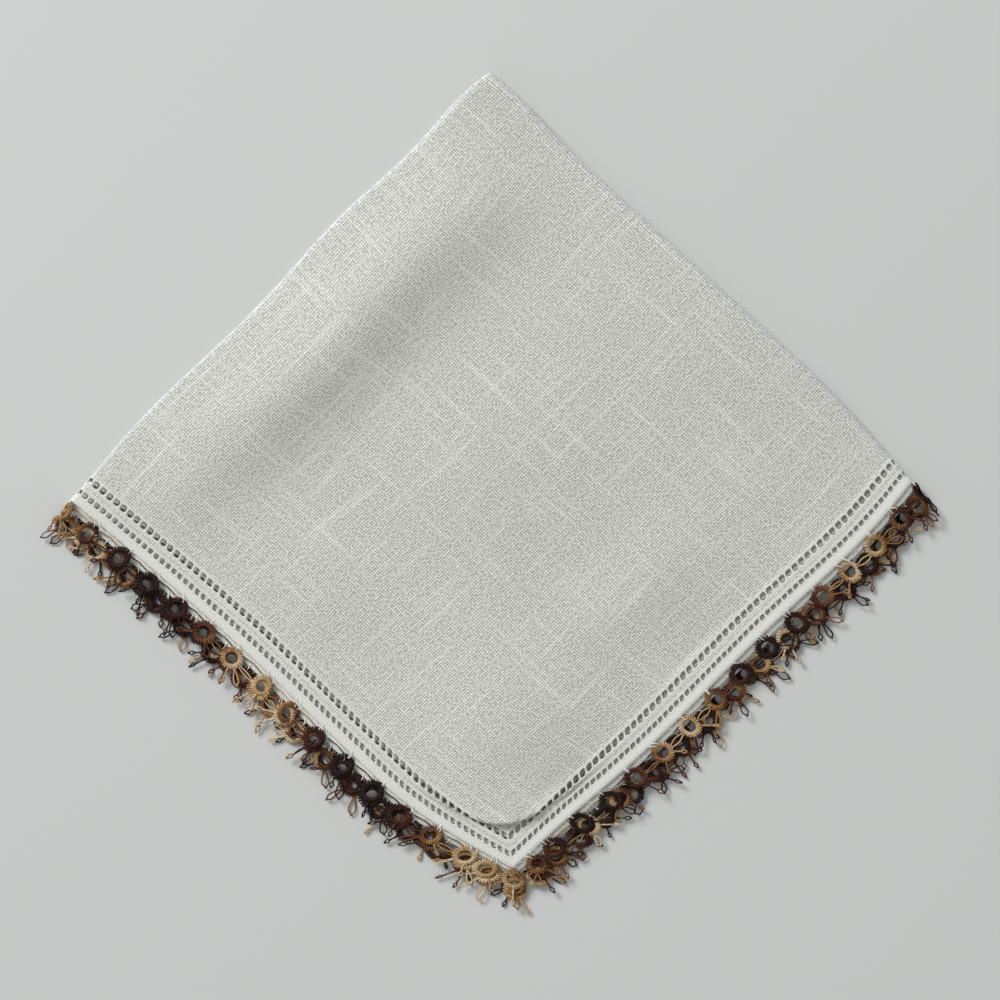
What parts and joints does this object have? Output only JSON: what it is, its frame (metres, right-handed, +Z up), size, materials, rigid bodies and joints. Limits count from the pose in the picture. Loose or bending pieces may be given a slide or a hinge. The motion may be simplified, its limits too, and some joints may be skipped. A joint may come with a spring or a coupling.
{
  "type": "folded linen handkerchief with a tatted lace edging",
  "caption": "Square linen handkerchief folded in quarters, with hemstitched borders and a tatted lace edging in variegated brown thread, to lie flat on a surface or tuck in a pocket.",
  "frame": {"origin": "middle of the bounding box, on the surface that the folded cloth rests on", "axes": "+Z up, +Y towards the corner where the two folds meet, -Y towards the tip where the four corners lie together, +X towards the end of the second fold"},
  "size_m": [0.2212, 0.2095, 0.0069],
  "materials": {
    "linen": "plain-woven undyed linen, washed and pressed, matt with a faint sheen",
    "lace_thread": "mercerised cotton tatting thread in shaded browns, soft sheen"
  },
  "bodies": {
    "root": {"linen_cloth": "linen", "tatted_edging": "lace_thread"}
  },
  "joints": []
}
